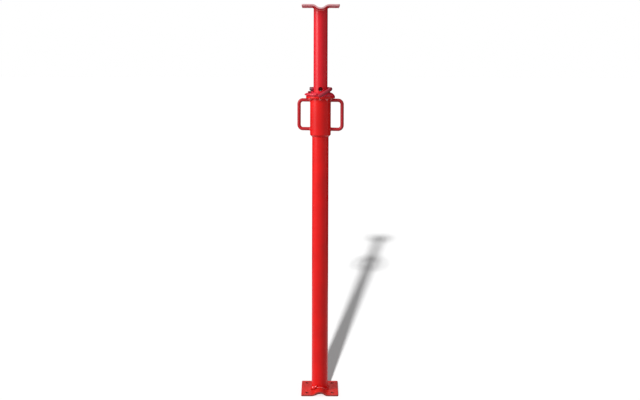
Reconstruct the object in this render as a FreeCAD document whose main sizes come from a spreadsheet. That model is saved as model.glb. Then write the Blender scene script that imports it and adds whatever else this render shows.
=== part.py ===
"""Adjustable steel prop: telescopic tubes, a nut with two handles, a locking pin and two end plates.

Millimetres, +Z up, origin on the floor under the middle of the base plate. The prop stands closed:
the pin is in the top hole of the inner tube and the nut is screwed right down.
"""
import FreeCAD, Part
import math
import os
import Sketcher

Vector = FreeCAD.Vector

# Driving dimensions: alias, value in millimetres or degrees, what it is
SIZES = [
    ("plate_side", 128, "side of the square end plates"),
    ("plate_thickness", 5, "sheet of the end plates"),
    ("plate_corner", 4, "corner radius of the end plates"),
    ("rib_half_width", 30, "middle of the plate to the foot of the pressed rib"),
    ("rib_height", 11, "height of the pressed rib"),
    ("bolt_spacing", 88, "hole to hole on the end plates"),
    ("bolt_hole", 12, "bolt hole diameter"),
    ("plate_weld", 5, "leg of the weld between a tube and its end plate"),
    ("plate_weld_bevel", 3.5, "bevel of that weld"),
    ("outer_diameter", 57, "outer tube, outside"),
    ("outer_wall", 2.6, "outer tube wall"),
    ("outer_length", 1011, "outer tube length"),
    ("tube_clearance", 1.75, "inner tube clear of the outer tube, on the radius"),
    ("inner_wall", 2.9, "inner tube wall"),
    ("inner_foot", 130, "lower end of the inner tube above the floor"),
    ("head_rise", 329, "mouth of the outer tube to the top of the head plate"),
    ("hole_play", 1.5, "pin holes wider than the pin"),
    ("hole_pitch", 100, "spacing of the pin holes"),
    ("guide_height", 20, "guide bush in the mouth of the outer tube"),
    ("guide_depth", 2, "guide bush below the mouth"),
    ("stop_height", 12, "stop band at the foot of the inner tube"),
    ("thread_length", 120, "mouth of the outer tube down to the foot of the nut"),
    ("sleeve_rise", 15.5, "cover sleeve of the nut above the mouth of the outer tube"),
    ("nut_wall", 6.9, "wall of the nut at its thread"),
    ("nut_land", 0.4, "flat at the foot of the nut, inside its bevel"),
    ("thread_height", 38, "threaded bore at the foot of the nut"),
    ("thread_gap", 0.35, "nut bore clear of the outer tube, on the radius"),
    ("sleeve_wall", 4, "wall of the cover sleeve above the thread"),
    ("flange_overhang", 14.25, "ring on top of the nut beyond its sleeve"),
    ("flange_thickness", 3.5, "ring on top of the nut"),
    ("flange_edge", 1.2, "rounding of the ring's rim"),
    ("flange_turn", 3, "turned-down rim of the ring, below its underside"),
    ("flange_turn_width", 5, "width of that rim"),
    ("flange_weld", 1.5, "leg of the weld under the ring"),
    ("collar_gap", 1.15, "collar and ring bore clear of the inner tube, on the radius"),
    ("collar_overhang", 3.5, "rim of the pin collar beyond the ring"),
    ("collar_flare", 11, "rim of the collar beyond its foot"),
    ("collar_flare_height", 3.2, "foot to the lower edge of the rim"),
    ("collar_rim", 5.2, "height of the rim"),
    ("collar_rim_bulge", 3.2, "radius of the rim's rounded edge"),
    ("lip_rise", 3.2, "top of the collar's lip above its rim"),
    ("lip_width", 2.5, "flat on top of the lip"),
    ("well_width", 9.5, "pin seat to the lip"),
    ("well_depth", 6, "top of the lip to the floor of the well behind it"),
    ("collar_height", 18.3, "foot to the pin seat"),
    ("seat_width", 8, "flat seat round the collar's bore"),
    ("shoulder_height", 13.7, "foot to the top of the collar's domed shoulder"),
    ("shoulder_round", 26, "radius of the domed shoulder"),
    ("lobe_angle", 150, "sweep of the collar's flared lobe"),
    ("guard_rise", 5, "guard behind the pin's tip, above the lip"),
    ("guard_start", 15, "start of the guard, from the middle of the lobe"),
    ("guard_end", 70, "end of the guard, from the middle of the lobe"),
    ("ramp_angle", 15, "slope of the two release ramps"),
    ("ramp_step", 8, "end wall of a ramp, past the middle"),
    ("pin_diameter", 13, "locking pin rod"),
    ("pin_overhang", 13.85, "tip of the pin beyond the inner tube"),
    ("pin_chamfer", 2.5, "chamfer at both ends of the pin"),
    ("hook_overhang", 9.85, "side of the hook beyond the inner tube"),
    ("hook_bend", 11, "radius of the bend from leg to hook"),
    ("hook_clearance", 3, "hook clear of the collar's rim"),
    ("hook_tilt", 31, "fall of the hook from right to left"),
    ("hook_bow_angle", 100, "sweep of the hook's bow"),
    ("handle_rod", 12, "handle rod diameter"),
    ("handle_depth", 40.25, "surface of the nut to the axis of the grip"),
    ("handle_clearance", 0.4, "weld of a handle's upper arm clear of the weld under the ring"),
    ("handle_lower", 26, "lower arm of a handle above the foot of the nut"),
    ("handle_bend", 14, "bend radius of a handle"),
    ("handle_angle", 167, "direction of the left handle about the axis"),
    ("handle_weld", 1.8, "leg of the weld round a handle's end"),
    ("joint_gap", 0.1, "root gap between welded or pressed pieces"),
    ("running_gap", 0.3, "gap between pieces that move on each other"),
]
HOLE_ROWS = 8
CLOSE = 0.01

doc = FreeCAD.newDocument("steel_prop")
sheet = doc.addObject("Spreadsheet::Sheet", "Sizes")
for row, (alias, number, note) in enumerate(SIZES, start=1):
    sheet.set("A%d" % row, note)
    sheet.set("B%d" % row, str(number))
    sheet.setAlias("B%d" % row, alias)
doc.recompute()

# Levels and radii that several pieces share, as expressions of the sheet
OUTER_RADIUS = "(Sizes.outer_diameter / 2)"
OUTER_BORE = "(Sizes.outer_diameter / 2 - Sizes.outer_wall)"
OUTER_TOP = "(Sizes.plate_thickness + Sizes.outer_length)"
INNER_RADIUS = "(%s - Sizes.tube_clearance)" % OUTER_BORE
CLOSED_HEIGHT = "(%s + Sizes.head_rise)" % OUTER_TOP
NUT_BORE = "(%s + Sizes.thread_gap)" % OUTER_RADIUS
NUT_RADIUS = "(%s + Sizes.nut_wall)" % NUT_BORE
NUT_FOOT = "(%s - Sizes.thread_length)" % OUTER_TOP
NUT_HEIGHT = "(Sizes.thread_length + Sizes.sleeve_rise)"
NUT_TOP = "(%s + Sizes.sleeve_rise)" % OUTER_TOP
FLANGE_RIM = "(%s + Sizes.flange_overhang)" % NUT_RADIUS
COLLAR_RIM = "(%s + Sizes.collar_overhang)" % FLANGE_RIM
COLLAR_BORE = "(%s + Sizes.collar_gap)" % INNER_RADIUS
COLLAR_FOOT = "(%s + Sizes.flange_thickness + Sizes.running_gap)" % NUT_TOP
PIN_SEAT = "(%s + Sizes.collar_height)" % COLLAR_FOOT
PIN_AXIS = "(%s + Sizes.running_gap + Sizes.pin_diameter / 2)" % PIN_SEAT
HOLE_RADIUS = "((Sizes.pin_diameter + Sizes.hole_play) / 2)"
TOP_HOLE = "(%s + Sizes.running_gap - Sizes.hole_play / 2)" % PIN_AXIS
HOOK_REACH = "(%s + Sizes.pin_diameter / 2 + Sizes.hook_clearance)" % COLLAR_RIM
WELD_REACH = "(Sizes.handle_rod / 2 + Sizes.joint_gap + Sizes.handle_weld)"
UPPER_ARM = "(%s - Sizes.flange_weld - Sizes.handle_clearance - %s)" % (NUT_HEIGHT, WELD_REACH)
GRIP = "(%s + Sizes.handle_depth)" % NUT_RADIUS
LOWER_ARM = "Sizes.handle_lower"
RIB_SLOPE = "(2 * atan(Sizes.rib_height / Sizes.rib_half_width))"
RIB_RADIUS = "(Sizes.rib_half_width / (2 * sin(%s)))" % RIB_SLOPE


def value(expression):
    """Number that an expression of the sheet stands for."""
    result = sheet.evalExpression(expression)
    return float(getattr(result, "Value", result))


def new_body(label):
    """Empty body whose name and label are the sub-part's name."""
    body = doc.addObject("PartDesign::Body", label)
    body.Label = label
    return body


def new_sketch(body, role, name, offset=None):
    """Sketch on one of the body's own origin planes, moved along its normal by an expression."""
    sketch = body.newObject("Sketcher::SketchObject", "%s_%s" % (body.Name, name))
    plane = [feature for feature in body.Origin.OriginFeatures if feature.Role == role][0]
    sketch.AttachmentSupport = [(plane, "")]
    sketch.MapMode = "FlatFace"
    if offset:
        sketch.setExpression("AttachmentOffset.Base.z", offset)
    return sketch


def bound(sketch, constraint, expression):
    """Add a constraint whose size follows an expression."""
    index = sketch.addConstraint(constraint)
    sketch.setExpression("Constraints[%d]" % index, expression)


def arc_between(start, end, radius, turn):
    """Short arc from start to end: turn is 1 to bend left on the way and -1 to bend right."""
    chord = end - start
    rise = math.sqrt(max(radius ** 2 - (chord.Length / 2) ** 2, 0))
    across = Vector(-chord.y, chord.x, 0).normalize()
    centre = (start + end) / 2 + across * (rise * turn)
    first, last = (start, end) if turn > 0 else (end, start)
    angles = [math.atan2(point.y - centre.y, point.x - centre.x) for point in (first, last)]
    return Part.ArcOfCircle(Part.Circle(centre, Vector(0, 0, 1), radius), angles[0], angles[1])


def draw(sketch, corners, closed=True):
    """Line through corners (x, y), or (x, y, radius, turn) where an arc leaves the corner.

    Every corner and radius is an expression, and the sketch is fully constrained by them.
    """
    points = [Vector(value(corner[0]), value(corner[1]), 0) for corner in corners]
    count = len(corners)
    sides = count if closed else count - 1
    heads = []
    tails = []
    for index in range(sides):
        start, end = points[index], points[(index + 1) % count]
        corner = corners[index]
        if len(corner) == 2:
            geometry = Part.LineSegment(start, end)
            ends = (1, 2)
        else:
            geometry = arc_between(start, end, value(corner[2]), corner[3])
            ends = (1, 2) if corner[3] > 0 else (2, 1)
        number = sketch.addGeometry(geometry)
        heads.append((number, ends[0]))
        tails.append((number, ends[1]))
    for index in range(sides if closed else sides - 1):
        sketch.addConstraint(Sketcher.Constraint("Coincident", *tails[index], *heads[(index + 1) % sides]))
    places = heads if closed else heads + [tails[-1]]
    for place, corner, point in zip(places, corners, points):
        bound(sketch, Sketcher.Constraint("DistanceX", -1, 1, *place, point.x), corner[0])
        bound(sketch, Sketcher.Constraint("DistanceY", -1, 1, *place, point.y), corner[1])
    for index in range(sides):
        if len(corners[index]) == 4:
            radius = corners[index][2]
            bound(sketch, Sketcher.Constraint("Radius", index, value(radius)), radius)


def circle(sketch, x, y, radius):
    """Circle at (x, y), all three given as expressions."""
    centre = Vector(value(x), value(y), 0)
    number = sketch.addGeometry(Part.Circle(centre, Vector(0, 0, 1), value(radius)))
    bound(sketch, Sketcher.Constraint("DistanceX", -1, 1, number, 3, centre.x), x)
    bound(sketch, Sketcher.Constraint("DistanceY", -1, 1, number, 3, centre.y), y)
    bound(sketch, Sketcher.Constraint("Radius", number, value(radius)), radius)


def pad(body, sketch, length, symmetric=False):
    """Pad a sketch by an expression, along its normal or evenly to both sides."""
    feature = body.newObject("PartDesign::Pad", sketch.Name + "_pad")
    feature.Profile = sketch
    feature.SideType = "Symmetric" if symmetric else "One side"
    feature.setExpression("Length", length)
    return feature


def pocket(body, sketch, length, reverse=False, symmetric=False):
    """Cut a sketch by an expression, and fail if it takes nothing away."""
    doc.recompute()
    before = body.Shape.Volume
    feature = body.newObject("PartDesign::Pocket", sketch.Name + "_cut")
    feature.Profile = sketch
    feature.SideType = "Symmetric" if symmetric else "One side"
    feature.Reversed = reverse
    feature.setExpression("Length", length)
    doc.recompute()
    if body.Shape.Volume >= before:
        raise RuntimeError("%s cuts nothing" % feature.Name)
    return feature


def revolve(body, sketch, axis):
    """Turn a sketch through a full circle about one of its own axes."""
    feature = body.newObject("PartDesign::Revolution", sketch.Name + "_turn")
    feature.Profile = sketch
    feature.ReferenceAxis = (sketch, [axis])
    feature.Angle = 360
    return feature


def turn_sector(body, kind, sketch, angle):
    """Turn a sketch evenly to both sides about the prop's axis, to add (Revolution) or cut (Groove)."""
    feature = body.newObject("PartDesign::" + kind, sketch.Name + "_sector")
    feature.Profile = sketch
    feature.ReferenceAxis = (sketch, ["V_Axis"])
    feature.Midplane = True
    feature.setExpression("Angle", angle)
    doc.recompute()
    return feature


def turned(label, corners):
    """Sub-part turned about the prop's axis from a closed outline of (radius, height) corners."""
    body = new_body(label)
    sketch = new_sketch(body, "XZ_Plane", "section")
    draw(sketch, corners)
    revolve(body, sketch, "V_Axis")
    return body


def ring(label, bore, rim, low, high):
    """Plain ring between two radii and two levels."""
    return turned(label, [(bore, low), (rim, low), (rim, high), (bore, high)])


def rib_line(offset, level="%s", mirrored=1):
    """Corners of the pressed rib from left to right, at an offset from the middle of the sheet.

    Two foot arcs and one crown arc meet at the rib's slope. level turns the height into the frame
    that is drawn in, and mirrored is -1 where that turns the rib over.
    """
    flat = level % ("(Sizes.plate_thickness / 2 + %s)" % offset)
    flank_x = "(Sizes.rib_half_width / 2 + %s * sin(%s))" % (offset, RIB_SLOPE)
    flank = "((Sizes.plate_thickness + Sizes.rib_height) / 2 + %s * cos(%s))" % (offset, RIB_SLOPE)
    flank = level % flank
    foot_radius = "(%s - %s)" % (RIB_RADIUS, offset)
    crown_radius = "(%s + %s)" % (RIB_RADIUS, offset)
    return [
        ("-Sizes.rib_half_width", flat, foot_radius, mirrored),
        ("-" + flank_x, flank, crown_radius, -mirrored),
        (flank_x, flank, foot_radius, mirrored),
        ("Sizes.rib_half_width", flat),
    ]


def turned_back(corners):
    """The same line from its other end: each arc leaves its other corner and bends the other way."""
    backwards = []
    for index in range(len(corners) - 1, -1, -1):
        place = corners[index][:2]
        arc = corners[index - 1][2:] if index else ()
        backwards.append(place + (arc[0], -arc[1]) if arc else place)
    return backwards


def end_plate(label):
    """Square plate with one pressed rib from edge to edge, rounded corners and four bolt holes."""
    body = new_body(label)
    half = "(Sizes.plate_side / 2)"
    section = new_sketch(body, "XZ_Plane", "section")
    underside = rib_line("(-Sizes.plate_thickness / 2)")
    topside = turned_back(rib_line("(Sizes.plate_thickness / 2)"))
    corners = [("-" + half, "0")] + underside
    corners += [(half, "0"), (half, "Sizes.plate_thickness")] + topside
    corners += [("-" + half, "Sizes.plate_thickness")]
    draw(section, corners)
    pad(body, section, "Sizes.plate_side", symmetric=True)
    holes = new_sketch(body, "XY_Plane", "holes")
    for x_sign in ("", "-"):
        for y_sign in ("", "-"):
            x_place = x_sign + "Sizes.bolt_spacing / 2"
            y_place = y_sign + "Sizes.bolt_spacing / 2"
            circle(holes, x_place, y_place, "Sizes.bolt_hole / 2")
    drilled = pocket(body, holes, "2 * Sizes.plate_thickness", reverse=True)
    reach = value(half) * math.sqrt(2) - CLOSE
    names = []
    for number, edge in enumerate(drilled.Shape.Edges, start=1):
        middle = edge.CenterOfMass
        if math.hypot(middle.x, middle.y) > reach:
            names.append("Edge%d" % number)
    rounded = body.newObject("PartDesign::Fillet", label + "_corners")
    rounded.Base = (drilled, names)
    rounded.setExpression("Radius", "Sizes.plate_corner")
    return body


def outer_tube():
    """Tube that stands on the base plate and is notched over its rib."""
    body = new_body("outer_tube")
    section = new_sketch(body, "XY_Plane", "section", "Sizes.plate_thickness")
    circle(section, "0", "0", OUTER_RADIUS)
    circle(section, "0", "0", OUTER_BORE)
    pad(body, section, "Sizes.outer_length")
    notch = new_sketch(body, "XZ_Plane", "notch")
    over_rib = rib_line("(Sizes.plate_thickness / 2 + Sizes.joint_gap)")
    draw(notch, over_rib + [("Sizes.rib_half_width", "0"), ("-Sizes.rib_half_width", "0")])
    pocket(body, notch, "2 * Sizes.outer_diameter", symmetric=True)
    return body


def inner_tube():
    """Tube with pin holes both ways at every row, its upper end cut to the rib of the head plate."""
    body = new_body("inner_tube")
    section = new_sketch(body, "XY_Plane", "section", "Sizes.inner_foot")
    circle(section, "0", "0", INNER_RADIUS)
    circle(section, "0", "0", "(%s - Sizes.inner_wall)" % INNER_RADIUS)
    pad(body, section, "%s - Sizes.plate_thickness - Sizes.inner_foot" % CLOSED_HEIGHT)
    saddle = new_sketch(body, "XZ_Plane", "saddle")
    under_rib = rib_line("(Sizes.plate_thickness / 2 + Sizes.joint_gap)", CLOSED_HEIGHT + " - %s", -1)
    ends = [("Sizes.rib_half_width", CLOSED_HEIGHT), ("-Sizes.rib_half_width", CLOSED_HEIGHT)]
    draw(saddle, under_rib + ends)
    pocket(body, saddle, "2 * Sizes.outer_diameter", symmetric=True)
    for role in ("XZ_Plane", "YZ_Plane"):
        rows = new_sketch(body, role, "holes_" + role[:2].lower())
        for row in range(HOLE_ROWS):
            level = "%s - %d * Sizes.hole_pitch" % (TOP_HOLE, row)
            circle(rows, "0", level, HOLE_RADIUS)
        pocket(body, rows, "2 * Sizes.outer_diameter", symmetric=True)
    return body


def plate_weld(label, tube_radius):
    """Fillet weld round the foot of a tube, up and over the rib of its plate."""
    body = new_body(label)
    rim = "(%s + Sizes.joint_gap + Sizes.plate_weld)" % tube_radius
    section = new_sketch(body, "XY_Plane", "section")
    circle(section, "0", "0", rim)
    circle(section, "0", "0", "(%s + Sizes.joint_gap)" % tube_radius)
    top = "(2 * (Sizes.plate_thickness + Sizes.rib_height + Sizes.plate_weld))"
    pad(body, section, top)
    half = "(Sizes.plate_side / 2)"
    root = "(Sizes.plate_thickness / 2 + Sizes.joint_gap)"
    face = "(%s + Sizes.plate_weld)" % root
    for name, offset, limit in (("under", root, "0"), ("over", face, top)):
        cut = new_sketch(body, "XZ_Plane", name)
        flat = "(Sizes.plate_thickness / 2 + %s)" % offset
        line = [("-" + half, flat)] + rib_line(offset) + [(half, flat)]
        draw(cut, line + [(half, limit), ("-" + half, limit)])
        trimmed = pocket(body, cut, "Sizes.plate_side", symmetric=True)
    names = []
    for number, edge in enumerate(trimmed.Shape.Edges, start=1):
        middle = edge.valueAt((edge.FirstParameter + edge.LastParameter) / 2)
        beneath = middle - Vector(middle.x, middle.y, 0).normalize() - Vector(0, 0, 1)
        on_rim = abs(math.hypot(middle.x, middle.y) - value(rim)) < CLOSE
        upper = trimmed.Shape.isInside(beneath, CLOSE, False)
        if on_rim and upper and not isinstance(edge.Curve, Part.Line):
            names.append("Edge%d" % number)
    bevel = body.newObject("PartDesign::Chamfer", label + "_bevel")
    bevel.Base = (trimmed, names)
    bevel.setExpression("Size", "Sizes.plate_weld_bevel")
    return body


def adjusting_nut():
    """Nut with a threaded bore at its foot, a bevelled lower edge and a cover sleeve above."""
    sleeve_bore = "(%s - Sizes.sleeve_wall)" % NUT_RADIUS
    shoulder = "(%s + Sizes.thread_height)" % NUT_FOOT
    return turned("adjusting_nut", [
        (NUT_BORE, NUT_FOOT),
        ("(%s + Sizes.nut_land)" % NUT_BORE, NUT_FOOT),
        (NUT_RADIUS, "(%s + Sizes.nut_wall - Sizes.nut_land)" % NUT_FOOT),
        (NUT_RADIUS, NUT_TOP),
        (sleeve_bore, NUT_TOP),
        (sleeve_bore, shoulder),
        (NUT_BORE, shoulder),
    ])


def nut_flange():
    """Ring on top of the nut that carries the pin collar, with a rim turned down and rounded."""
    rim_start = "(%s - Sizes.flange_edge)" % FLANGE_RIM
    rim_inside = "(%s - Sizes.flange_turn_width)" % FLANGE_RIM
    rim_foot = "(%s - Sizes.flange_turn)" % NUT_TOP
    top = "(%s + Sizes.flange_thickness)" % NUT_TOP
    return turned("nut_flange", [
        (COLLAR_BORE, NUT_TOP),
        (rim_inside, NUT_TOP),
        (rim_inside, rim_foot),
        (rim_start, rim_foot, "Sizes.flange_edge", 1),
        (FLANGE_RIM, "(%s + Sizes.flange_edge)" % rim_foot),
        (FLANGE_RIM, "(%s - Sizes.flange_edge)" % top, "Sizes.flange_edge", 1),
        (rim_start, top),
        (COLLAR_BORE, top),
    ])


def flange_weld():
    """Fillet weld between the nut and the underside of its ring."""
    root = "(%s + Sizes.joint_gap)" % NUT_RADIUS
    return turned("flange_weld", [
        (root, "(%s - Sizes.flange_weld)" % NUT_TOP),
        ("(%s + Sizes.flange_weld)" % root, NUT_TOP),
        (root, NUT_TOP),
    ])


def pin_collar():
    """Collar under the pin: a seat round the bore, a domed shoulder, and one flared lobe on its left.

    Seat and shoulder fall away on two ramps half a turn apart, so the pin can be turned off its seat.
    The lobe is a lip round a shallow well, and a guard rises from the lip behind the pin's tip.
    """
    rim_low = "(%s + Sizes.collar_flare_height)" % COLLAR_FOOT
    rim_high = "(%s + Sizes.collar_rim)" % rim_low
    seat_edge = "(%s + Sizes.seat_width)" % COLLAR_BORE
    lip_inside = "(%s + Sizes.well_width)" % seat_edge
    lip_outside = "(%s + Sizes.lip_width)" % lip_inside
    lip_top = "(%s + Sizes.lip_rise)" % rim_high
    well_floor = "(%s - Sizes.well_depth)" % lip_top
    body = turned("pin_collar", [
        (COLLAR_BORE, COLLAR_FOOT),
        (FLANGE_RIM, COLLAR_FOOT, "Sizes.shoulder_round", 1),
        (seat_edge, "(%s + Sizes.shoulder_height)" % COLLAR_FOOT),
        (seat_edge, PIN_SEAT),
        (COLLAR_BORE, PIN_SEAT),
    ])
    reach = "(2 * %s)" % COLLAR_RIM
    above = "(%s + Sizes.collar_height)" % PIN_SEAT
    fall = "(%s - %s * tan(Sizes.ramp_angle))" % (PIN_SEAT, reach)
    for side, name in (("-", "front"), ("", "back")):
        step = ("" if side else "-") + "Sizes.ramp_step"
        ramp = new_sketch(body, "YZ_Plane", "ramp_" + name, step)
        outward = side + reach
        corners = [("0", PIN_SEAT), ("0", above), (outward, above), (outward, fall)]
        draw(ramp, corners)
        pocket(body, ramp, reach, reverse=not side)
    lobe = new_sketch(body, "XZ_Plane", "lobe")
    draw(lobe, [
        ("-" + seat_edge, COLLAR_FOOT),
        ("-(%s - Sizes.collar_flare)" % COLLAR_RIM, COLLAR_FOOT, "Sizes.collar_flare", 1),
        ("-" + COLLAR_RIM, rim_low, "Sizes.collar_rim_bulge", -1),
        ("-" + COLLAR_RIM, rim_high, COLLAR_RIM, -1),
        ("-" + lip_outside, lip_top),
        ("-" + seat_edge, lip_top),
    ])
    turn_sector(body, "Revolution", lobe, "Sizes.lobe_angle")
    well = new_sketch(body, "XZ_Plane", "well")
    draw(well, [
        ("-" + seat_edge, well_floor),
        ("-" + lip_inside, well_floor),
        ("-" + lip_inside, PIN_SEAT),
        ("-" + seat_edge, PIN_SEAT),
    ])
    turn_sector(body, "Groove", well, "Sizes.lobe_angle")
    guard = new_sketch(body, "XY_Plane", "guard", well_floor)
    place = ("-(%s * cos(Sizes.guard_%s))", "(%s * sin(Sizes.guard_%s))")
    outline = [(lip_outside, "start"), (lip_outside, "end"), (lip_inside, "end"), (lip_inside, "start")]
    corners = [tuple(axis % corner for axis in place) for corner in outline]
    corners[0] += (lip_outside, -1)
    corners[2] += (lip_inside, 1)
    draw(guard, corners)
    pad(body, guard, "(Sizes.well_depth + Sizes.guard_rise)")
    return body


def handle(label, turn):
    """Round rod bent to a D and cut to the nut's surface, placed by the direction of its grip."""
    body = new_body(label)
    path = new_sketch(body, "XZ_Plane", "path")
    bend_x = "(%s - Sizes.handle_bend)" % GRIP
    draw(path, [
        ("0", UPPER_ARM),
        (bend_x, UPPER_ARM, "Sizes.handle_bend", -1),
        (GRIP, "(%s - Sizes.handle_bend)" % UPPER_ARM),
        (GRIP, "(%s + Sizes.handle_bend)" % LOWER_ARM, "Sizes.handle_bend", -1),
        (bend_x, LOWER_ARM),
        ("0", LOWER_ARM),
    ], closed=False)
    section = new_sketch(body, "YZ_Plane", "section")
    circle(section, "0", UPPER_ARM, "Sizes.handle_rod / 2")
    doc.recompute()
    rod = body.newObject("PartDesign::AdditivePipe", label + "_rod")
    rod.Profile = section
    rod.Spine = (path, [])
    cope_to_nut(body)
    stand(body, NUT_FOOT, turn)
    return body


def cope_to_nut(body):
    """Cut a piece that points at the nut back to the nut's surface."""
    surface = new_sketch(body, "XY_Plane", "cope")
    circle(surface, "0", "0", "(%s + Sizes.joint_gap)" % NUT_RADIUS)
    pocket(body, surface, "4 * %s" % NUT_HEIGHT, symmetric=True)


def stand(body, level, turn):
    """Place a body at a level, turned about the prop's axis."""
    body.Placement = FreeCAD.Placement(Vector(0, 0, 0), FreeCAD.Rotation(Vector(0, 0, 1), value(turn)))
    body.setExpression("Placement.Base.z", level)
    body.setExpression("Placement.Rotation.Angle", turn)


def handle_weld(label, arm, turn):
    """Fillet weld round the end of a handle's arm."""
    body = new_body(label)
    section = new_sketch(body, "XZ_Plane", "section")
    root = "(Sizes.handle_rod / 2 + Sizes.joint_gap)"
    behind = "(%s - Sizes.handle_rod / 2)" % NUT_RADIUS
    toe = "(%s + Sizes.joint_gap + Sizes.handle_weld)" % NUT_RADIUS
    draw(section, [
        (behind, root),
        (toe, root),
        ("(%s + Sizes.joint_gap)" % NUT_RADIUS, WELD_REACH),
        (behind, WELD_REACH),
    ])
    revolve(body, section, "H_Axis")
    cope_to_nut(body)
    stand(body, "%s + %s" % (NUT_FOOT, arm), turn)
    return body


def locking_pin():
    """Bent rod: a leg through the tube, a tight bend at its right, then a bow that falls across the front.

    The bow lies in a plane that falls from right to left, so it leaves the bend level and forwards.
    """
    radius = value("Sizes.pin_diameter") / 2
    level = value(PIN_AXIS)
    side = value(INNER_RADIUS) + value("Sizes.hook_overhang")
    bend = value("Sizes.hook_bend")
    tilt = math.radians(value("Sizes.hook_tilt"))
    sweep = math.radians(value("Sizes.hook_bow_angle"))
    bow = side / math.cos(tilt)
    bow_start = Vector(side, bow - value(HOOK_REACH), level)
    across = Vector(math.cos(tilt), 0, math.sin(tilt))
    forwards = Vector(0, -1, 0)
    centre = bow_start - across * bow

    def bow_point(angle):
        return centre + across * (bow * math.cos(angle)) + forwards * (bow * math.sin(angle))

    tip = Vector(-value(INNER_RADIUS) - value("Sizes.pin_overhang"), 0, level)
    bend_start = Vector(side - bend, 0, level)
    bend_end = Vector(side, -bend, level)
    slant = bend * math.sqrt(0.5)
    bend_middle = Vector(side - bend + slant, -bend + slant, level)
    path = Part.Wire([
        Part.LineSegment(tip, bend_start).toShape(),
        Part.Arc(bend_start, bend_middle, bend_end).toShape(),
        Part.LineSegment(bend_end, bow_start).toShape(),
        Part.Arc(bow_start, bow_point(sweep / 2), bow_point(sweep)).toShape(),
    ])
    section = Part.Wire([Part.Circle(tip, Vector(1, 0, 0), radius).toShape()])
    rod = path.makePipeShell([section], True, False)
    ends = [edge for edge in rod.Edges if is_end(edge, (tip, bow_point(sweep)))]
    pin = doc.addObject("Part::Feature", "locking_pin")
    pin.Label = "locking_pin"
    pin.Shape = rod.makeChamfer(value("Sizes.pin_chamfer"), ends)
    pin.Placement = FreeCAD.Placement()
    return pin


def is_end(edge, centres):
    """True for a round edge about one of the given centres."""
    if not isinstance(edge.Curve, Part.Circle):
        return False
    return min((edge.Curve.Center - centre).Length for centre in centres) < CLOSE


base_plate = end_plate("base_plate")
head_plate = end_plate("head_plate")
head_plate.Placement = FreeCAD.Placement(Vector(0, 0, 0), FreeCAD.Rotation(Vector(1, 0, 0), 180))
head_plate.setExpression("Placement.Base.z", CLOSED_HEIGHT)
head_weld = plate_weld("head_weld", INNER_RADIUS)
head_weld.Placement = head_plate.Placement
head_weld.setExpression("Placement.Base.z", CLOSED_HEIGHT)

guide_top = "(%s - Sizes.guide_depth)" % OUTER_TOP
guide_bush = ring(
    "guide_bush",
    "(%s + Sizes.running_gap)" % INNER_RADIUS,
    "(%s - Sizes.joint_gap)" % OUTER_BORE,
    "(%s - Sizes.guide_height)" % guide_top,
    guide_top,
)
stop_band = ring(
    "stop_band",
    "(%s + Sizes.joint_gap)" % INNER_RADIUS,
    "(%s - Sizes.running_gap)" % OUTER_BORE,
    "Sizes.inner_foot",
    "(Sizes.inner_foot + Sizes.stop_height)",
)

parts = [base_plate, plate_weld("base_weld", OUTER_RADIUS), outer_tube(), guide_bush]
parts += [head_plate, head_weld, inner_tube(), stop_band]
parts += [adjusting_nut(), nut_flange(), flange_weld(), pin_collar(), locking_pin()]
for hand, turn in (("left", "Sizes.handle_angle"), ("right", "Sizes.handle_angle + 180")):
    parts.append(handle("handle_" + hand, turn))
    parts.append(handle_weld("weld_%s_upper" % hand, UPPER_ARM, turn))
    parts.append(handle_weld("weld_%s_lower" % hand, LOWER_ARM, turn))

doc.recompute()
for item in doc.Objects:
    if "Invalid" in item.State or "Error" in item.State:
        raise RuntimeError("%s failed: %s" % (item.Name, item.State))
for part in parts:
    if part.Shape.isNull() or not part.Shape.isValid() or len(part.Shape.Solids) != 1:
        raise RuntimeError("%s is not one valid solid" % part.Label)

os.makedirs("parts", exist_ok=True)
for part in parts:
    part.Shape.exportStep("parts/%s.step" % part.Label)
    print("%-18s %10.1f mm3" % (part.Label, part.Shape.Volume))
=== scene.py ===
"""Looks of the adjustable steel prop: red enamel, rippled weld beads, the screw thread, light and camera.

Metres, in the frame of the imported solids: +Z up along the tubes, the photograph looks along +Y.
"""
import math

import bpy
import numpy as np
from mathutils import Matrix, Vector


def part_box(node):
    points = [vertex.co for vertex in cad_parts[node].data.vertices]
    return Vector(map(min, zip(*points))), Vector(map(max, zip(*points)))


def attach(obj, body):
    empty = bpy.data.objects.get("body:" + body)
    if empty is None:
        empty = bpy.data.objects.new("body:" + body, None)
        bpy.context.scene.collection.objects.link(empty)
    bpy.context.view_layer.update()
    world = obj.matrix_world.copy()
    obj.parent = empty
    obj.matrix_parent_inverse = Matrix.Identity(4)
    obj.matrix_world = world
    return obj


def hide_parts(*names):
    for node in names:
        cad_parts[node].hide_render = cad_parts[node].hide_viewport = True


MM = 0.001

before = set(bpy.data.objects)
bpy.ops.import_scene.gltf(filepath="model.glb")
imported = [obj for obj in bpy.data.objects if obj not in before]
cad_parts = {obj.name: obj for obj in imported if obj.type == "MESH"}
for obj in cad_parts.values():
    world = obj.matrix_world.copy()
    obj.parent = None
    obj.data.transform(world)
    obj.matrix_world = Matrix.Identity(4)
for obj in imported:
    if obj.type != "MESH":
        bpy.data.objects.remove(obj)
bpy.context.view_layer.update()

# Sizes of the pressed end plates and the outer tube's wall, as in the part's source
PLATE_THICKNESS = 5 * MM
RIB_HALF_WIDTH = 30 * MM
RIB_HEIGHT = 11 * MM
RIB_SLOPE = 2 * math.atan(RIB_HEIGHT / RIB_HALF_WIDTH)
RIB_RADIUS = RIB_HALF_WIDTH / (2 * math.sin(RIB_SLOPE))
OUTER_WALL = 2.6 * MM

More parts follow.
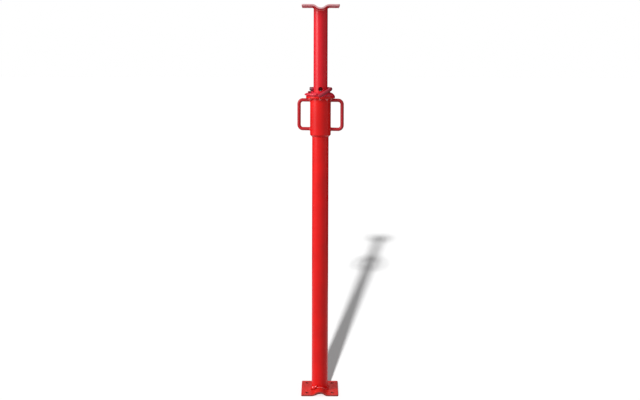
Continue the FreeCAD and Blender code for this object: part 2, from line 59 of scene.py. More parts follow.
# Tubes, nut and pin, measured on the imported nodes
OUTER_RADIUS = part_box("outer_tube")[1].x
OUTER_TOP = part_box("outer_tube")[1].z
INNER_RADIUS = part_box("inner_tube")[1].x
HEAD_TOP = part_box("head_plate")[1].z
NUT_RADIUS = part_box("adjusting_nut")[1].x
NUT_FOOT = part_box("adjusting_nut")[0].z
NUT_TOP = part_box("adjusting_nut")[1].z
PIN_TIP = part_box("locking_pin")[0].x
PIN_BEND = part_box("locking_pin")[1].x

# Screw thread of the outer tube, hidden by the nut at rest
THREAD_LEAD = 6 * MM
THREAD_DEPTH = 1.1 * MM
THREAD_RUNOUT = 9 * MM
THREAD_FLANK = 0.75
THREAD_SIDES = 144
ROWS_PER_LEAD = 12
PAINTED_RUN = 3 * MM

# Plain lengths of the outer tube: rows as shares of the length, and the gap between its foot and the plate
PLAIN_ROWS = np.array([0, 0.3, 0.6, 0.9, 1.0])
FOOT_GAP = 0.1 * MM

# Weld beads: legs, the section's centre and radius as shares of the leg, and the ripples left by the torch
PLATE_WELD = 5 * MM
FLANGE_WELD = 1.5 * MM
HANDLE_WELD = 1.8 * MM
BEAD_CENTRE = 0.30
BEAD_RADIUS = 0.60
BEAD_SIDES = 24
TUBE_BEAD_STEPS = 720
HANDLE_BEAD_STEPS = 96
RIPPLE_PITCH = 3.2 * MM
RIPPLE_HEIGHT = 0.055
RIPPLE_SWEEP = 0.9

# Step over which the plate's slope is measured, and the angle from which an edge is sharp
SLOPE_STEP = 0.1 * MM
SHARP_ANGLE = math.radians(50)

# Slow swelling of a bead along its line: share of the leg, waves in the whole line and phase
BEAD_WANDER = ((0.030, 5, 1), (0.024, 9, 0))

# Lumps where the torch paused: width, legs, how far they run from the corner, and places round the tube
LUMP_SPREAD = 6 * MM
FOOT_LUMP = 8 * MM
FOOT_CLIMB = 6 * MM
HEAD_CLIMB = 0
RING_LUMP = 10 * MM
RING_DRIP = 2 * MM
RING_LUMPS = np.radians([-152, -92, -56, -15, 40, 85, 130, 172])
FOOT_LUMPS = np.radians([-141, -119])
HEAD_LUMPS = np.radians([120])

# Handles: rod, heights of the arms and turns about the nut
HANDLE_ROD_RADIUS = 6 * MM
HANDLE_ARMS = {"upper": NUT_FOOT + 125.7 * MM, "lower": NUT_FOOT + 26 * MM}
HANDLE_ANGLES = {"left": math.radians(167), "right": math.radians(347)}

# Enamel of the lower half, the inner tube, the handles, the pin and the collar, each with its deeper tone
RED, DEEP_RED = "#DC1412", "#A01012"
CRIMSON, DEEP_CRIMSON = "#D81C28", "#9E121C"
DARK_RED, DEEP_DARK_RED = "#B01822", "#84101A"
WINE_RED, DEEP_WINE_RED = "#A02838", "#6C1422"
COLLAR_RED, DEEP_COLLAR_RED = "#D62438", "#9A1626"

# Enamel of the end plates with the tone of their cut edges, and the painted shade in the collar's recesses
# The head plate's pale edge tone is partly thin paint and partly a painted reflection of the bright surround.
HEAD_RED, HEAD_EDGE_PAINTED_SHEEN = "#D82840", "#D0A0A4"
BASE_RED, BASE_EDGE = "#D82820", "#9A4440"
PAINTED_RECESS_SHADE = "#4A1014"

# Bare steel: under oil on the thread and inside the tubes, on the pin where it is rubbed, and on the pin's
# bend painted dark as shade
THREAD_STEEL, THREAD_OIL = "#6E6A66", "#3A3531"
BORE_STEEL, BORE_OIL = "#77736E", "#453E38"
RUBBED_STEEL, BEND_SHADE_STEEL = "#8A6A72", "#4A4042"
THREAD_ROUGHNESS = 0.38
PIN_ROUGHNESS = 0.36

# Roughness and reflection of the enamel: sprayed, pooled on welds, on rods, on the collar and on plates
PAINT_IOR = 1.47
GLOSS = 0.32
SHEEN = 0.22
WET_GLOSS = 0.14
WET_SHEEN = 1.0
ROD_SHEEN = 0.3
COLLAR_SHEEN = 0.4
DULL_GLOSS = 0.42
HEAD_SHEEN = 0.015
BASE_SHEEN = 0.12

# Sizes of the patterns in paint and steel. The steel's grit is drawn coarse, so that it shows close up
CLOUD_SIZE = 60 * MM
GRAIN_SIZE = 5 * MM
PEEL_SIZE = 2.2 * MM
PEEL_HEIGHT = 0.12 * MM
EDGE_RADIUS = 1.6 * MM
BLOTCH_SIZE = 22 * MM
# Reach over which the collar's painted shade looks for nearby surfaces
SHADE_REACH = 14 * MM
RAGGED_SIZE = 6 * MM
SMEAR_SIZE = 14 * MM
STREAK_SIZE = 16 * MM
STREAK_REACH = 8 * MM
GRIT_SIZE = 1.5 * MM
GRIT_HEIGHT = 0.1 * MM

# Lengths of the pin, across the tube, over which its enamel gives way to steel
BEND_SHADE_FADE = 3 * MM
RUBBED_LENGTH = 9 * MM
RUBBED_FADE = 5 * MM

# Photograph: image size, focal length and optical axis in pixels, then the camera's sensor, place and tilt
IMAGE_WIDTH = 640
IMAGE_HEIGHT = 400
FOCAL_PIXELS = 825.7
OPTICAL_AXIS = (320.58, 125.65)
SENSOR_WIDTH = 36
CAMERA_DISTANCE = 2.84
CAMERA_HEIGHT = 1.147
CAMERA_PITCH = math.radians(4.3)
CAMERA_ROLL = math.radians(-0.15)

# Floor as it is seen and as it throws light back, and the even light of the surround
FLOOR_REACH = 60.0
FLOOR_WHITE, FLOOR_GREY = "#F8F8F8", "#A4A4A4"
SURROUND_WHITE = "#FFFFFF"
EVEN_LIGHT = 0.30

# Lamps: power, size and place, and what they point at
KEY_POWER, KEY_SIZE, KEY_PLACE = 140, (1.5, 2.2), (-2.95, -1.3, 2.1)
FILL_POWER, FILL_SIZE, FILL_PLACE = 27, (1.6, 3.0), (0.3, -3.6, 2.2)
TOP_POWER, TOP_SIZE, TOP_PLACE = 28, (1.5, 1.5), (0.4, -0.5, 3.8)
SUN_POWER, SUN_ANGLE, SUN_PLACE = 5.4, math.radians(2.2), (-0.393, -2.54, 1.345)
MIDDLE = (0, 0, 0.65)
FOOT = (0, 0, 0)

# Black cards behind the object, which give the tubes their dark edges: where each stands on the floor
FELT_BLACK = "#202020"
FLAG_HEIGHT = 2.4
FLAGS = {"right_flag": ((1.6, 0.1), (0.2, 1.7)), "left_flag": ((-0.2, 1.7), (-1.6, 0.6))}


def linear(hex_colour):
    """Linear RGBA of an sRGB hex colour."""
    channels = np.array([int(hex_colour[i:i + 2], 16) for i in (1, 3, 5)]) / 255
    curve = np.where(channels <= 0.04045, channels / 12.92, ((channels + 0.055) / 1.055) ** 2.4)
    return (*curve.tolist(), 1.0)


def add(tree, kind, inputs=None, **settings):
    """Add a node with its settings: an input given as a socket is linked, any other is set."""
    made = tree.nodes.new(kind)
    for name, setting in settings.items():
        setattr(made, name, setting)
    for key, source in (inputs or {}).items():
        if isinstance(source, bpy.types.NodeSocket):
            tree.links.new(source, made.inputs[key])
        else:
            made.inputs[key].default_value = source
    return made


def new_material(name):
    """Empty node material and its node tree."""
    material = bpy.data.materials.new(name)
    material.use_nodes = True
    material.node_tree.nodes.clear()
    return material, material.node_tree


def per_metre(size):
    """Texture scale that gives a pattern of about this size in metres."""
    return 1 / size


def grid_piece(name, points, body, material, stands_for):
    """Closed surface from a grid of points, (rows, columns, 3), that wraps round both ways."""
    rows, columns = points.shape[:2]
    here = np.arange(rows * columns).reshape(rows, columns)
    right = np.roll(here, -1, axis=1)
    above = np.roll(here, -1, axis=0)
    above_right = np.roll(right, -1, axis=0)
    quads = np.stack([here, right, above_right, above], axis=-1).reshape(-1, 4)
    mesh = bpy.data.meshes.new(name)
    mesh.from_pydata(points.reshape(-1, 3), [], quads.tolist())
    mesh.polygons.foreach_set("use_smooth", np.ones(len(quads), bool))
    mesh.set_sharp_from_angle(angle=SHARP_ANGLE)
    mesh.materials.append(material)
    piece = bpy.data.objects.new(name, mesh)
    bpy.context.scene.collection.objects.link(piece)
    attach(piece, body)
    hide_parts(stands_for)
    return piece


def plate_top(x):
    """Height of the upper side of the pressed sheet at x, half a thickness above its middle.

    A crown arc over the middle and a foot arc each side, which meet at the rib's slope, then flat.
    """
    across = np.abs(x)
    middle = PLATE_THICKNESS / 2
    offset = PLATE_THICKNESS / 2
    crown_centre = middle + RIB_HEIGHT - RIB_RADIUS
    foot_centre = middle + RIB_RADIUS
    crown_arc = np.sqrt(np.maximum((RIB_RADIUS + offset) ** 2 - across ** 2, 0))
    foot_arc = np.sqrt(np.maximum((RIB_RADIUS - offset) ** 2 - (RIB_HALF_WIDTH - across) ** 2, 0))
    flank = RIB_HALF_WIDTH / 2 + offset * math.sin(RIB_SLOPE)
    curved = np.where(across < flank, crown_centre + crown_arc, foot_centre - foot_arc)
    return np.where(across < RIB_HALF_WIDTH, curved, middle + offset)


def unit(vectors):
    """Vectors along the last axis, made one long."""
    return vectors / np.linalg.norm(vectors, axis=-1, keepdims=True)


def whole_turn(steps):
    """Angles of equal steps round a circle."""
    return np.linspace(0, 2 * np.pi, steps, endpoint=False)


def level_outward(angle):
    """Level directions away from the tubes' axis at these angles."""
    return np.stack([np.cos(angle), np.sin(angle), np.zeros_like(angle)], axis=-1)


def lump_swell(angle, radius, lumps):
    """Share of a lump round a tube, from 0 to 1: a half circle over the way round from its place."""
    apart = np.angle(np.exp(1j * (angle[:, None] - lumps[None, :]))) * radius
    return np.sqrt(np.maximum(1 - (apart / LUMP_SPREAD) ** 2, 0)).max(axis=1)


def bead(root, leg_a, leg_b, leg, name, body, stands_for):
    """Rippled weld bead carried along a closed line of root points.

    Its section is a circle about a point a little way out along both legs, so that it reaches both
    surfaces. Its radius swells and dips along the line, with the dips swept back at the sides.
    """
    step = np.linalg.norm(np.roll(root, -1, axis=0) - root, axis=1)
    share = np.concatenate([[0], np.cumsum(step)[:-1]]) / step.sum()
    ripples = round(step.sum() / RIPPLE_PITCH)
    turn = whole_turn(BEAD_SIDES)
    sweep = RIPPLE_SWEEP * np.cos(turn - np.pi / 4)
    phase = 2 * np.pi * ripples * share[:, None] - sweep[None, :]
    wander = sum(size * np.sin(2 * np.pi * waves * share + start) for size, waves, start in BEAD_WANDER)
    leg = np.broadcast_to(leg, share.shape)[:, None]
    radius = leg * (BEAD_RADIUS + wander[:, None] + RIPPLE_HEIGHT * np.abs(np.sin(phase / 2)))
    centre = root + BEAD_CENTRE * leg * (leg_a + leg_b)
    cosine = np.cos(turn)[None, :, None]
    sine = np.sin(turn)[None, :, None]
    section = cosine * leg_a[:, None, :] + sine * leg_b[:, None, :]
    points = centre[:, None, :] + radius[:, :, None] * section
    inside_out = np.dot(np.cross(leg_a[0], leg_b[0]), root[1] - root[0]) > 0
    if inside_out:
        points = points[:, ::-1]
    return grid_piece(name, points, body, WELD_ENAMEL, stands_for)


def tube_on_plate_bead(name, tube_radius, lumps, climb, upside_down, body, stands_for):
    """Bead round the foot of a tube, up and over the rib of its plate, with lumps that climb the tube."""
    angle = whole_turn(TUBE_BEAD_STEPS)
    outward = level_outward(angle)
    root = outward * tube_radius
    root[:, 2] = plate_top(root[:, 0])
    rise = plate_top(root[:, 0] + SLOPE_STEP) - plate_top(root[:, 0] - SLOPE_STEP)
    slope = rise / (2 * SLOPE_STEP)
    up = np.tile([0.0, 0.0, 1.0], (len(angle), 1))
    along_plate = unit(outward + up * (slope * outward[:, 0])[:, None])
    if upside_down:
        flip = np.array([1, -1, -1])
        root = root * flip + np.array([0, 0, HEAD_TOP])
        up = up * flip
        along_plate = along_plate * flip
    swell = lump_swell(angle, tube_radius, lumps)
    root = root + up * (climb * swell)[:, None]
    leg = PLATE_WELD + (FOOT_LUMP - PLATE_WELD) * swell
    return bead(root, along_plate, up, leg, name, body, stands_for)


def flange_bead():
    """Bead in the corner between the nut's sleeve and the underside of its ring, with lumps that ran down."""
    angle = whole_turn(TUBE_BEAD_STEPS)
    outward = level_outward(angle)
    root = outward * NUT_RADIUS + np.array([0, 0, NUT_TOP])
    down = np.tile([0.0, 0.0, -1.0], (len(angle), 1))
    swell = lump_swell(angle, NUT_RADIUS, RING_LUMPS)
    root[:, 2] -= RING_DRIP * swell
    leg = FLANGE_WELD + (RING_LUMP - FLANGE_WELD) * swell
    return bead(root, outward, down, leg, "ring_weld_bead", "nut", "flange_weld")


def handle_bead(side, arm):
    """Bead round the end of a handle's arm, on the saddle line where the rod meets the round nut."""
    angle = whole_turn(HANDLE_BEAD_STEPS)
    around = np.stack([np.zeros_like(angle), np.cos(angle), np.sin(angle)], axis=-1)
    root = around * HANDLE_ROD_RADIUS
    root[:, 0] = np.sqrt(NUT_RADIUS ** 2 - root[:, 1] ** 2)
    root[:, 2] += HANDLE_ARMS[arm]
    away = np.tile([1.0, 0.0, 0.0], (len(angle), 1))
    cosine = math.cos(HANDLE_ANGLES[side])
    sine = math.sin(HANDLE_ANGLES[side])
    turn = np.array([[cosine, sine, 0], [-sine, cosine, 0], [0, 0, 1]])
    name = "handle_weld_bead_%s_%s" % (side, arm)
    stands_for = "weld_%s_%s" % (side, arm)
    return bead(root @ turn, away @ turn, around @ turn, HANDLE_WELD, name, "nut", stands_for)


def threaded_tube():
    """Outer tube with its rolled thread: radius as a function of the turn and the height.

    The thread is a rounded wave of height along the tube minus one lead for each turn, so it is a
    right-hand helix. It fades out over a short run at its lower end. The foot of the tube follows
    the plate's rib. The rows run up the outside, over the mouth and down the bore.
    """
    angle = whole_turn(THREAD_SIDES)
    thread_foot = NUT_FOOT + PAINTED_RUN
    thread_rows = int(ROWS_PER_LEAD * (OUTER_TOP - thread_foot) / THREAD_LEAD)
    threaded = np.linspace(thread_foot, OUTER_TOP, thread_rows)
    foot = plate_top(OUTER_RADIUS * np.cos(angle)) + FOOT_GAP
    lower = foot[None, :] + (thread_foot - foot)[None, :] * PLAIN_ROWS[:-1, None]
    upper = np.repeat(threaded[:, None], len(angle), axis=1)
    height = np.concatenate([lower, upper])
    fade = np.clip((height - thread_foot) / THREAD_RUNOUT, 0, 1)
    phase = 2 * np.pi * height / THREAD_LEAD - angle[None, :]
    groove = np.clip(0.5 - THREAD_FLANK * np.cos(phase), 0, 1)
    outside = OUTER_RADIUS - THREAD_DEPTH * fade * groove
    bore_radius = OUTER_RADIUS - OUTER_WALL
    bore = np.full((len(PLAIN_ROWS), len(angle)), bore_radius)
    bore_foot = plate_top(bore_radius * np.cos(angle)) + FOOT_GAP
    bore_height = OUTER_TOP + (bore_foot - OUTER_TOP)[None, :] * PLAIN_ROWS[:, None]
    radius = np.concatenate([outside, bore])
    level = np.concatenate([height, bore_height])
    points = np.stack([radius * np.cos(angle), radius * np.sin(angle), level], axis=-1)
    return grid_piece("outer_tube_threaded", points, "base", THREADED_ENAMEL, "outer_tube")


def sprayed_film(tree, place, base, deep, roughness):
    """Sprayed enamel, as the paint shader's inputs.

    Cloudy film thickness in patches, a fine orange peel, and a thinner, darker film on sharp edges.
    """
    clouds = add(tree, "ShaderNodeTexNoise", {"Vector": place, "Scale": per_metre(CLOUD_SIZE), "Detail": 4.0})
    grain = add(tree, "ShaderNodeTexNoise", {"Vector": place, "Scale": per_metre(GRAIN_SIZE), "Detail": 3.0})
    peel = add(tree, "ShaderNodeTexNoise", {"Vector": place, "Scale": per_metre(PEEL_SIZE), "Detail": 2.0})
    cloudy = add(tree, "ShaderNodeMapRange", {
        "Value": clouds.outputs["Fac"], "From Min": 0.3, "From Max": 0.7, "To Min": 0.0, "To Max": 0.35})
    film = add(tree, "ShaderNodeMix", {
        "Factor": cloudy.outputs["Result"], "A": linear(base), "B": linear(deep)}, data_type="RGBA")
    rounded = add(tree, "ShaderNodeBevel", {"Radius": EDGE_RADIUS}, samples=6).outputs["Normal"]
    flat = add(tree, "ShaderNodeNewGeometry").outputs["Normal"]
    facing = add(tree, "ShaderNodeVectorMath", {0: rounded, 1: flat}, operation="DOT_PRODUCT")
    edge = add(tree, "ShaderNodeMapRange", {
        "Value": facing.outputs["Value"], "From Min": 0.97, "From Max": 0.80, "To Min": 0.0, "To Max": 0.35})
    colour = add(tree, "ShaderNodeMix", {
        "Factor": edge.outputs["Result"], "A": film.outputs["Result"], "B": linear(deep)}, data_type="RGBA")
    gloss = add(tree, "ShaderNodeMapRange", {
        "Value": grain.outputs["Fac"], "From Min": 0.3, "From Max": 0.7,
        "To Min": roughness - 0.05, "To Max": roughness + 0.07})
    bump = add(tree, "ShaderNodeBump", {
        "Strength": 0.12, "Distance": PEEL_HEIGHT, "Height": peel.outputs["Fac"], "Normal": rounded})
    return {
        "Base Color": colour.outputs["Result"],
        "Roughness": gloss.outputs["Result"],
        "Normal": bump.outputs["Normal"],
        "IOR": PAINT_IOR,
    }


def red_enamel(name, base, deep, roughness=GLOSS, sheen=SHEEN):
    """Air-drying alkyd enamel on rolled steel: saturated red, with a soft wide highlight where it was
    sprayed thin and a small bright one where it ran together thick."""
    material, tree = new_material(name)
    place = add(tree, "ShaderNodeTexCoord").outputs["Object"]
    film = sprayed_film(tree, place, base, deep, roughness)
    paint = add(tree, "ShaderNodeBsdfPrincipled", {**film, "Specular IOR Level": sheen})
    add(tree, "ShaderNodeOutputMaterial", {"Surface": paint.outputs["BSDF"]})
    return material


def sheared_plate_enamel(name, base, deep, edge_tone, sheen):
    """Enamel on a plate sheared from sheet: a flat dull red, with another tone in patches on upright cut
    edges: on the head plate pale, partly rubbed-thin paint and partly a painted reflection, on the base plate
    darker.
    """
    material, tree = new_material(name)
    place = add(tree, "ShaderNodeTexCoord").outputs["Object"]
    film = sprayed_film(tree, place, base, deep, DULL_GLOSS)
    facing = add(tree, "ShaderNodeNewGeometry").outputs["Normal"]
    level = add(tree, "ShaderNodeSeparateXYZ", {"Vector": facing}).outputs["Z"]
    tilt = add(tree, "ShaderNodeMath", {0: level}, operation="ABSOLUTE")
    cut = add(tree, "ShaderNodeMapRange", {"Value": tilt.outputs["Value"], "From Min": 0.5, "From Max": 0.2})
    blotches = add(tree, "ShaderNodeTexNoise", {
        "Vector": place, "Scale": per_metre(BLOTCH_SIZE), "Detail": 3.0})
    rubbed = add(tree, "ShaderNodeMapRange", {
        "Value": blotches.outputs["Fac"], "From Min": 0.3, "From Max": 0.6, "To Min": 0.7, "To Max": 1.0})
    edge_tone_share = add(tree, "ShaderNodeMath", {
        0: cut.outputs["Result"], 1: rubbed.outputs["Result"]}, operation="MULTIPLY")
    # Edge tone in patches: on the head plate partly a painted reflection.
    tone = add(tree, "ShaderNodeMix", {
        "Factor": edge_tone_share.outputs["Value"], "A": film["Base Color"], "B": linear(edge_tone)}, data_type="RGBA")
    paint = add(tree, "ShaderNodeBsdfPrincipled", {
        **film, "Base Color": tone.outputs["Result"], "Specular IOR Level": sheen})
    add(tree, "ShaderNodeOutputMaterial", {"Surface": paint.outputs["BSDF"]})
    return material


def recess_shaded_enamel():
    """Enamel on the collar, darkened as painted shade where nearby surfaces close it in: in its well, under
    the pin and round the tube.
    """
    material, tree = new_material("crimson_alkyd_enamel_with_painted_recess_shade")
    place = add(tree, "ShaderNodeTexCoord").outputs["Object"]
    film = sprayed_film(tree, place, COLLAR_RED, DEEP_COLLAR_RED, GLOSS)
    # Painted shade: where ambient occlusion finds the collar closed in, its enamel turns towards a near-black
    # red.
    shelter = add(tree, "ShaderNodeAmbientOcclusion", {"Distance": SHADE_REACH}, samples=8)
    painted_shade = add(tree, "ShaderNodeMapRange", {
        "Value": shelter.outputs["AO"], "From Min": 0.6, "From Max": 0.2, "To Min": 0.0, "To Max": 0.7})
    tone = add(tree, "ShaderNodeMix", {
        "Factor": painted_shade.outputs["Result"], "A": film["Base Color"], "B": linear(PAINTED_RECESS_SHADE)},
        data_type="RGBA")
    paint = add(tree, "ShaderNodeBsdfPrincipled", {
        **film, "Base Color": tone.outputs["Result"], "Specular IOR Level": COLLAR_SHEEN})
    add(tree, "ShaderNodeOutputMaterial", {"Surface": paint.outputs["BSDF"]})
    return material


def threaded_enamel():
    """The same enamel on the lower tube, left off the thread: dark oiled steel with bright crests."""
    material, tree = new_material("red_alkyd_enamel_with_oiled_thread")
    place = add(tree, "ShaderNodeTexCoord").outputs["Object"]
    film = sprayed_film(tree, place, RED, DEEP_RED, GLOSS)
    height = add(tree, "ShaderNodeSeparateXYZ", {"Vector": place}).outputs["Z"]
    ragged = add(tree, "ShaderNodeTexNoise", {
        "Vector": place, "Scale": per_metre(RAGGED_SIZE), "Detail": 3.0})
    edge = add(tree, "ShaderNodeMath", {
        0: ragged.outputs["Fac"], 1: RAGGED_SIZE, 2: height}, operation="MULTIPLY_ADD")
    bare = add(tree, "ShaderNodeMapRange", {
        "Value": edge.outputs["Value"],
        "From Min": NUT_FOOT + 2 * PAINTED_RUN, "From Max": NUT_FOOT + 3 * PAINTED_RUN})
    paint = add(tree, "ShaderNodeBsdfPrincipled", {**film, "Specular IOR Level": SHEEN})
    smear = add(tree, "ShaderNodeTexNoise", {"Vector": place, "Scale": per_metre(SMEAR_SIZE), "Detail": 4.0})
    oil = add(tree, "ShaderNodeMix", {
        "Factor": smear.outputs["Fac"], "A": linear(THREAD_STEEL), "B": linear(THREAD_OIL)}, data_type="RGBA")
    steel = add(tree, "ShaderNodeBsdfPrincipled", {
        "Base Color": oil.outputs["Result"], "Metallic": 1.0, "Roughness": THREAD_ROUGHNESS})
    mixed = add(tree, "ShaderNodeMixShader", {
        "Fac": bare.outputs["Result"], 1: paint.outputs["BSDF"], 2: steel.outputs["BSDF"]})
    add(tree, "ShaderNodeOutputMaterial", {"Surface": mixed.outputs["Shader"]})
    return material


def scuffed_and_shaded_enamel():
    """Thin enamel on the loose pin, rubbed to bare steel at its tip, with dark steel on its bend that is
    painted shade.
    """
    material, tree = new_material("wine_red_enamel_scuffed_with_painted_shade_on_steel")
    place = add(tree, "ShaderNodeTexCoord").outputs["Object"]
    film = sprayed_film(tree, place, WINE_RED, DEEP_WINE_RED, GLOSS)
    streaks = add(tree, "ShaderNodeTexNoise", {
        "Vector": place, "Scale": per_metre(STREAK_SIZE), "Detail": 3.0})
    across = add(tree, "ShaderNodeSeparateXYZ", {"Vector": place}).outputs["X"]
    ragged = add(tree, "ShaderNodeMath", {
        0: streaks.outputs["Fac"], 1: STREAK_REACH, 2: across}, operation="MULTIPLY_ADD")
    # Painted shade: the pin's bend, on the side away from the key light, turns to dark steel.
    shaded_bend = add(tree, "ShaderNodeMapRange", {
        "Value": ragged.outputs["Value"], "From Min": PIN_BEND, "From Max": PIN_BEND + BEND_SHADE_FADE})
    rubbed = add(tree, "ShaderNodeMapRange", {
        "Value": ragged.outputs["Value"],
        "From Min": PIN_TIP + RUBBED_LENGTH + RUBBED_FADE, "From Max": PIN_TIP + RUBBED_LENGTH})
    bare = add(tree, "ShaderNodeMath", {
        0: shaded_bend.outputs["Result"], 1: rubbed.outputs["Result"]}, operation="MAXIMUM")
    tone = add(tree, "ShaderNodeMix", {
        "Factor": shaded_bend.outputs["Result"], "A": linear(RUBBED_STEEL), "B": linear(BEND_SHADE_STEEL)},
        data_type="RGBA")
    paint = add(tree, "ShaderNodeBsdfPrincipled", {**film, "Specular IOR Level": SHEEN})
    steel = add(tree, "ShaderNodeBsdfPrincipled", {
        "Base Color": tone.outputs["Result"], "Metallic": 1.0, "Roughness": PIN_ROUGHNESS,
        "Normal": film["Normal"]})
    mixed = add(tree, "ShaderNodeMixShader", {
        "Fac": bare.outputs["Value"], 1: paint.outputs["BSDF"], 2: steel.outputs["BSDF"]})
    add(tree, "ShaderNodeOutputMaterial", {"Surface": mixed.outputs["Shader"]})
    return material


def oiled_steel():
    """Bare rolled steel with a film of oil, inside the tubes: grey with brown smears."""
    material, tree = new_material("oiled_rolled_steel")
    place = add(tree, "ShaderNodeTexCoord").outputs["Object"]
    smear = add(tree, "ShaderNodeTexNoise", {"Vector": place, "Scale": per_metre(SMEAR_SIZE), "Detail": 4.0})
    grit = add(tree, "ShaderNodeTexNoise", {"Vector": place, "Scale": per_metre(GRIT_SIZE), "Detail": 2.0})
    oil = add(tree, "ShaderNodeMix", {
        "Factor": smear.outputs["Fac"], "A": linear(BORE_STEEL), "B": linear(BORE_OIL)}, data_type="RGBA")
    gloss = add(tree, "ShaderNodeMapRange", {"Value": grit.outputs["Fac"], "To Min": 0.3, "To Max": 0.55})
    bump = add(tree, "ShaderNodeBump", {
        "Strength": 0.2, "Distance": GRIT_HEIGHT, "Height": grit.outputs["Fac"]})
    steel = add(tree, "ShaderNodeBsdfPrincipled", {
        "Base Color": oil.outputs["Result"], "Metallic": 1.0, "Roughness": gloss.outputs["Result"],
        "Normal": bump.outputs["Normal"]})
    add(tree, "ShaderNodeOutputMaterial", {"Surface": steel.outputs["BSDF"]})
    return material


ENAMEL = red_enamel("red_alkyd_enamel_sprayed", RED, DEEP_RED)
INNER_ENAMEL = red_enamel("crimson_alkyd_enamel_sprayed", CRIMSON, DEEP_CRIMSON)
HANDLE_ENAMEL = red_enamel("dark_red_alkyd_enamel_dipped", DARK_RED, DEEP_DARK_RED, sheen=ROD_SHEEN)
WELD_ENAMEL = red_enamel("red_alkyd_enamel_pooled_on_welds", RED, DEEP_RED, WET_GLOSS, WET_SHEEN)
HEAD_ENAMEL = sheared_plate_enamel(
    "crimson_alkyd_enamel_on_sheared_plate", HEAD_RED, DEEP_CRIMSON, HEAD_EDGE_PAINTED_SHEEN, HEAD_SHEEN)
BASE_ENAMEL = sheared_plate_enamel(
    "red_alkyd_enamel_on_sheared_plate", BASE_RED, DEEP_RED, BASE_EDGE, BASE_SHEEN)
RECESS_SHADED_ENAMEL = recess_shaded_enamel()
THREADED_ENAMEL = threaded_enamel()
SCUFFED_AND_SHADED_ENAMEL = scuffed_and_shaded_enamel()
OILED_STEEL = oiled_steel()

FINISHES = {
    "guide_bush": OILED_STEEL,
    "stop_band": OILED_STEEL,
    "inner_tube": INNER_ENAMEL,
    "head_plate": HEAD_ENAMEL,
    "base_plate": BASE_ENAMEL,
    "handle_left": HANDLE_ENAMEL,
    "handle_right": HANDLE_ENAMEL,
    "pin_collar": RECESS_SHADED_ENAMEL,
    "locking_pin": SCUFFED_AND_SHADED_ENAMEL,
}
for node_name, node_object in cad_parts.items():
    node_object.data.materials.clear()
    node_object.data.materials.append(FINISHES.get(node_name, ENAMEL))

threaded_tube()
tube_on_plate_bead("base_weld_bead", OUTER_RADIUS, FOOT_LUMPS, FOOT_CLIMB, False, "base", "base_weld")
tube_on_plate_bead("head_weld_bead", INNER_RADIUS, HEAD_LUMPS, HEAD_CLIMB, True, "inner", "head_weld")
flange_bead()
for side in HANDLE_ANGLES:
    for arm in HANDLE_ARMS:
        handle_bead(side, arm)


def seen_directly(tree):
    """One for rays that show a surface to the eye, straight or in a reflection, else zero."""
    path = add(tree, "ShaderNodeLightPath")
    mirrored = add(tree, "ShaderNodeMath", {
        0: path.outputs["Is Glossy Ray"], 1: path.outputs["Is Transmission Ray"]}, operation="MAXIMUM")
    return add(tree, "ShaderNodeMath", {
        0: path.outputs["Is Camera Ray"], 1: mirrored.outputs["Value"]}, operation="MAXIMUM").outputs["Value"]


def studio_sheet(name, corners, material):
    """Flat sheet with four corners, for the studio around the object."""
    mesh = bpy.data.meshes.new(name)
    mesh.from_pydata(corners, [], [(0, 1, 2, 3)])
    mesh.materials.append(material)
    sheet = bpy.data.objects.new(name, mesh)
    bpy.context.scene.collection.objects.link(sheet)
    return sheet


def studio_floor():
    """Wide floor, white to the eye, that throws only a little light back up."""
    material, tree = new_material("white_studio_floor")
    white = add(tree, "ShaderNodeBsdfDiffuse", {"Color": linear(FLOOR_WHITE)})
    grey = add(tree, "ShaderNodeBsdfDiffuse", {"Color": linear(FLOOR_GREY)})
    mixed = add(tree, "ShaderNodeMixShader", {
        "Fac": seen_directly(tree), 1: grey.outputs["BSDF"], 2: white.outputs["BSDF"]})
    add(tree, "ShaderNodeOutputMaterial", {"Surface": mixed.outputs["Shader"]})
    corners = [(x * FLOOR_REACH, y * FLOOR_REACH, 0) for x, y in ((-1, -1), (1, -1), (1, 1), (-1, 1))]
    floor = studio_sheet("floor", corners, material)
    return floor


def flag(name, near, far):
    """Upright black card from one place on the floor to another, which only darkens reflections."""
    material, tree = new_material("black_felt_flag")
    felt = add(tree, "ShaderNodeBsdfDiffuse", {"Color": linear(FELT_BLACK)})
    add(tree, "ShaderNodeOutputMaterial", {"Surface": felt.outputs["BSDF"]})
    corners = [(*near, 0), (*far, 0), (*far, FLAG_HEIGHT), (*near, FLAG_HEIGHT)]
    card = studio_sheet(name, corners, material)
    card.visible_camera = False
    card.visible_diffuse = False
    card.visible_shadow = False


def studio_world():
    """White surround for the eye, a low even light on the object."""
    world = bpy.data.worlds.new("studio")
    world.use_nodes = True
    tree = world.node_tree
    tree.nodes.clear()
    seen = add(tree, "ShaderNodeBackground", {"Color": linear(SURROUND_WHITE), "Strength": 1.0})
    fill = add(tree, "ShaderNodeBackground", {"Color": linear(SURROUND_WHITE), "Strength": EVEN_LIGHT})
    mixed = add(tree, "ShaderNodeMixShader", {
        "Fac": seen_directly(tree), 1: fill.outputs["Background"], 2: seen.outputs["Background"]})
    add(tree, "ShaderNodeOutputWorld", {"Surface": mixed.outputs["Shader"]})
    bpy.context.scene.world = world


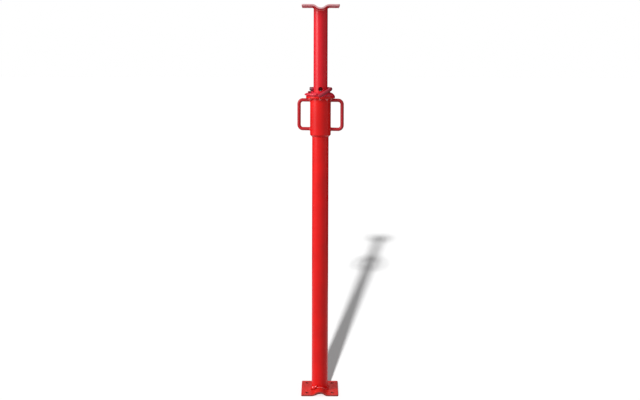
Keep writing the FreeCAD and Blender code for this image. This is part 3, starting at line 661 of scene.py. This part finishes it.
def lamp(kind, name, power, place, target, floor, on_floor):
    """Lamp pointed from a place at a target, which lights either the floor alone or all but the floor."""
    data = bpy.data.lights.new(name, kind)
    data.energy = power
    made = bpy.data.objects.new(name, data)
    made.location = place
    direction = np.array(target) - np.array(place)
    level = math.hypot(direction[0], direction[1])
    heading = math.atan2(direction[1], direction[0]) - math.pi / 2
    made.rotation_euler = (math.atan2(level, -direction[2]), 0, heading)
    bpy.context.scene.collection.objects.link(made)
    lit = bpy.data.collections.new("lit_by_" + name)
    lit.objects.link(floor)
    lit.collection_objects[0].light_linking.link_state = "INCLUDE" if on_floor else "EXCLUDE"
    made.light_linking.receiver_collection = lit
    return made


def softbox(name, power, size, place, target, floor):
    """Rectangular lamp for the object."""
    made = lamp("AREA", name, power, place, target, floor, False)
    made.data.shape = "RECTANGLE"
    made.data.size = size[0]
    made.data.size_y = size[1]
    return made


def lights(floor):
    """Large softbox on the left and weak fills for the object, a low sun for the floor and its shadow."""
    softbox("left_softbox", KEY_POWER, KEY_SIZE, KEY_PLACE, MIDDLE, floor)
    fill = softbox("front_fill", FILL_POWER, FILL_SIZE, FILL_PLACE, MIDDLE, floor)
    fill.visible_glossy = False
    top = softbox("overhead_softbox", TOP_POWER, TOP_SIZE, TOP_PLACE, FOOT, floor)
    top.visible_glossy = False
    sun = lamp("SUN", "shadow_sun", SUN_POWER, SUN_PLACE, FOOT, floor, True)
    sun.data.angle = SUN_ANGLE


def camera():
    """Camera at the photograph's place, its frame shifted because the optical axis is above the centre."""
    data = bpy.data.cameras.new("camera")
    data.sensor_width = SENSOR_WIDTH
    data.lens = FOCAL_PIXELS / IMAGE_WIDTH * SENSOR_WIDTH
    data.shift_x = (IMAGE_WIDTH / 2 - OPTICAL_AXIS[0]) / IMAGE_WIDTH
    data.shift_y = (OPTICAL_AXIS[1] - IMAGE_HEIGHT / 2) / IMAGE_WIDTH
    made = bpy.data.objects.new("camera", data)
    made.location = (0, -CAMERA_DISTANCE, CAMERA_HEIGHT)
    made.rotation_euler = (math.pi / 2 - CAMERA_PITCH, CAMERA_ROLL, 0)
    bpy.context.scene.collection.objects.link(made)
    bpy.context.scene.camera = made


floor = studio_floor()
for flag_name, (near, far) in FLAGS.items():
    flag(flag_name, near, far)
studio_world()
lights(floor)
camera()
bpy.context.scene.view_settings.view_transform = "Standard"
